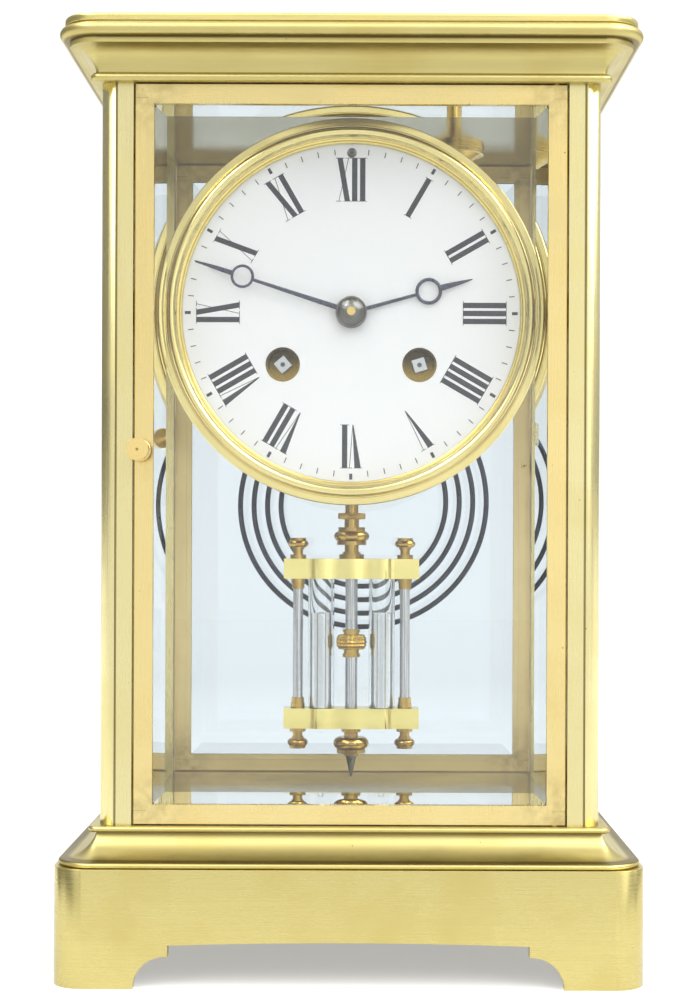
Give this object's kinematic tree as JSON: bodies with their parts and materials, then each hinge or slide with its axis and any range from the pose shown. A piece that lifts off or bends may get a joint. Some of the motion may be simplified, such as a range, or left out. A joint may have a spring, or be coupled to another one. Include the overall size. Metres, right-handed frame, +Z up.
{
  "type": "crystal regulator clock",
  "caption": "Brass four-glass mantel clock with hinged bevelled-glass doors, enamel dial, moon hands, striking movement, coil gong and mercury pendulum",
  "frame": {"origin": "bottom centre of the case, on the surface it stands on", "axes": "+Z up, dial facing -Y, +X to the right as the dial is read"},
  "size_m": [0.1588, 0.1388, 0.26],
  "materials": {
    "case_brass": "satin brushed and lacquered",
    "movement_brass": "turned and polished",
    "gilt_brass": "turned and gilt",
    "plate_glass": "polished, bevelled edges",
    "vial_glass": "drawn tube",
    "mercury": "liquid metal",
    "enamel": "fired white enamel",
    "blued_steel": "blued",
    "hand_steel": "polished, faintly blued",
    "steel": "polished"
  },
  "bodies": {
    "case": {"plinth": "case_brass", "base_moulding": "case_brass", "pillar_front_left": "case_brass", "pillar_front_right": "case_brass", "pillar_rear_left": "case_brass", "pillar_rear_right": "case_brass", "cornice": "case_brass", "top_plate": "case_brass", "case_screws": "steel", "side_glass_left": "plate_glass", "side_glass_right": "plate_glass", "carrier_ring": "movement_brass", "movement_brackets": "movement_brass", "dial_bezel": "gilt_brass", "dial": "enamel", "dial_bushes": "movement_brass", "front_plate": "movement_brass", "back_plate": "movement_brass", "plate_pillars": "movement_brass", "gong": "blued_steel", "gong_post": "movement_brass", "pendulum_cock": "movement_brass"},
    "front_door": {"front_door_frame": "case_brass", "front_door_glass": "plate_glass", "front_door_retainer": "case_brass"},
    "front_latch": {"front_door_latch": "case_brass"},
    "rear_door": {"rear_door_frame": "case_brass", "rear_door_glass": "plate_glass", "rear_door_retainer": "case_brass"},
    "rear_latch": {"rear_door_latch": "case_brass"},
    "minute_hand": {"minute_hand": "hand_steel", "hand_collet": "movement_brass", "cannon_pinion": "movement_brass"},
    "hour_hand": {"hour_hand": "hand_steel", "hour_wheel": "movement_brass"},
    "minute_wheel": {"minute_wheel": "movement_brass"},
    "third_wheel": {"third_wheel": "movement_brass"},
    "centre_wheel": {"centre_wheel": "movement_brass"},
    "intermediate_wheel": {"intermediate_wheel": "movement_brass"},
    "going_barrel": {"going_barrel": "movement_brass"},
    "escape_wheel": {"escape_wheel": "movement_brass"},
    "going_arbor": {"going_arbor": "steel"},
    "strike_third_wheel": {"strike_third_wheel": "movement_brass"},
    "strike_second_wheel": {"strike_second_wheel": "movement_brass"},
    "strike_barrel": {"strike_barrel": "movement_brass"},
    "strike_fly": {"strike_fly": "movement_brass"},
    "strike_arbor": {"strike_arbor": "steel"},
    "going_click": {"going_click": "steel"},
    "strike_click": {"strike_click": "steel"},
    "hammer": {"hammer": "movement_brass"},
    "regulator": {"regulator_arbor": "steel"},
    "pendulum": {"suspension_spring": "steel", "pendulum_rod": "movement_brass", "bob_brackets": "movement_brass", "bob_rods": "steel", "bob_turnings": "movement_brass", "mercury_vials": "vial_glass", "mercury": "mercury"},
    "pallets": {"pallet_anchor": "steel"},
    "rating_nut": {"rating_nut": "movement_brass"}
  },
  "joints": [
    {"name": "front_door_hinge", "type": "hinge", "parent": "case", "child": "front_door", "pos_m": [0.05585, -0.0567, 0.1425], "axis": [0, 0, 1], "range_deg": [0, 110]},
    {"name": "front_latch_turn", "type": "hinge", "parent": "front_door", "child": "front_latch", "pos_m": [-0.05695, -0.055, 0.1435], "axis": [0, -1, 0], "range_deg": [0, 90]},
    {"name": "rear_door_hinge", "type": "hinge", "parent": "case", "child": "rear_door", "pos_m": [-0.05585, 0.0567, 0.1425], "axis": [0, 0, 1], "range_deg": [0, 110]},
    {"name": "rear_latch_turn", "type": "hinge", "parent": "rear_door", "child": "rear_latch", "pos_m": [0.05695, 0.055, 0.1435], "axis": [0, 1, 0], "range_deg": [0, 90]},
    {"name": "minute_hand_turn", "type": "hinge", "parent": "case", "child": "minute_hand", "pos_m": [0, -0.04, 0.183], "axis": [0, 1, 0], "continuous": true},
    {"name": "hour_hand_turn", "type": "hinge", "parent": "case", "child": "hour_hand", "pos_m": [0, -0.038, 0.183], "axis": [0, 1, 0], "continuous": true},
    {"name": "minute_wheel_turn", "type": "hinge", "parent": "case", "child": "minute_wheel", "pos_m": [-0.01386, -0.035, 0.191], "axis": [0, 1, 0], "continuous": true},
    {"name": "third_wheel_turn", "type": "hinge", "parent": "case", "child": "third_wheel", "pos_m": [0.00416, -0.014, 0.196], "axis": [0, 1, 0], "continuous": true},
    {"name": "centre_wheel_turn", "type": "hinge", "parent": "case", "child": "centre_wheel", "pos_m": [0, -0.014, 0.183], "axis": [0, 1, 0], "continuous": true},
    {"name": "intermediate_wheel_turn", "type": "hinge", "parent": "case", "child": "intermediate_wheel", "pos_m": [0.00097, -0.014, 0.16917], "axis": [0, 1, 0], "continuous": true},
    {"name": "going_barrel_turn", "type": "hinge", "parent": "case", "child": "going_barrel", "pos_m": [0.0192, -0.014, 0.1685], "axis": [0, 1, 0], "continuous": true},
    {"name": "escape_wheel_turn", "type": "hinge", "parent": "case", "child": "escape_wheel", "pos_m": [0, -0.014, 0.207], "axis": [0, 1, 0], "continuous": true},
    {"name": "going_winding", "type": "hinge", "parent": "case", "child": "going_arbor", "pos_m": [0.0192, -0.014, 0.1685], "axis": [0, 1, 0], "continuous": true},
    {"name": "strike_third_turn", "type": "hinge", "parent": "case", "child": "strike_third_wheel", "pos_m": [-0.01829, -0.014, 0.19902], "axis": [0, 1, 0], "continuous": true},
    {"name": "strike_second_turn", "type": "hinge", "parent": "case", "child": "strike_second_wheel", "pos_m": [-0.02237, -0.014, 0.18646], "axis": [0, 1, 0], "continuous": true},
    {"name": "strike_barrel_turn", "type": "hinge", "parent": "case", "child": "strike_barrel", "pos_m": [-0.0192, -0.014, 0.1685], "axis": [0, 1, 0], "continuous": true},
    {"name": "strike_fly_turn", "type": "hinge", "parent": "case", "child": "strike_fly", "pos_m": [-0.01252, -0.014, 0.20725], "axis": [0, 1, 0], "continuous": true},
    {"name": "strike_winding", "type": "hinge", "parent": "case", "child": "strike_arbor", "pos_m": [-0.0192, -0.014, 0.1685], "axis": [0, 1, 0], "continuous": true},
    {"name": "going_click_lift", "type": "hinge", "parent": "case", "child": "going_click", "pos_m": [0.0264, -0.033, 0.162], "axis": [0, 1, 0], "range_deg": [0, 12]},
    {"name": "strike_click_lift", "type": "hinge", "parent": "case", "child": "strike_click", "pos_m": [-0.0264, -0.033, 0.162], "axis": [0, -1, 0], "range_deg": [0, 12]},
    {"name": "hammer_swing", "type": "hinge", "parent": "case", "child": "hammer", "pos_m": [-0.036, -0.014, 0.178], "axis": [0, 1, 0], "range_deg": [0, 25]},
    {"name": "regulator_turn", "type": "hinge", "parent": "case", "child": "regulator", "pos_m": [0, -0.01, 0.228], "axis": [0, 1, 0], "continuous": true},
    {"name": "pendulum_swing", "type": "hinge", "parent": "case", "child": "pendulum", "pos_m": [0, 0.014, 0.2185], "axis": [0, 1, 0], "range_deg": [-3.5, 3.5]},
    {"name": "pallet_rock", "type": "hinge", "parent": "case", "child": "pallets", "pos_m": [0, 0, 0.2185], "axis": [0, 1, 0], "range_deg": [-3.5, 3.5]},
    {"name": "rating_nut_turn", "type": "hinge", "parent": "pendulum", "child": "rating_nut", "pos_m": [0, 0.014, 0.1264], "axis": [0, 0, 1], "continuous": true}
  ],
  "couplings": [
    {"joint": "hour_hand_turn", "follows": "minute_hand_turn", "ratio": 0.083333},
    {"joint": "minute_wheel_turn", "follows": "minute_hand_turn", "ratio": -0.33333},
    {"joint": "centre_wheel_turn", "follows": "third_wheel_turn", "ratio": -0.083333},
    {"joint": "intermediate_wheel_turn", "follows": "third_wheel_turn", "ratio": 0.013889},
    {"joint": "going_barrel_turn", "follows": "third_wheel_turn", "ratio": -0.0019841},
    {"joint": "escape_wheel_turn", "follows": "third_wheel_turn", "ratio": -11},
    {"joint": "strike_second_turn", "follows": "strike_third_turn", "ratio": -0.11111},
    {"joint": "strike_barrel_turn", "follows": "strike_third_turn", "ratio": 0.015873},
    {"joint": "strike_fly_turn", "follows": "strike_third_turn", "ratio": -8.5714},
    {"joint": "pallet_rock", "follows": "pendulum_swing", "ratio": 1}
  ]
}
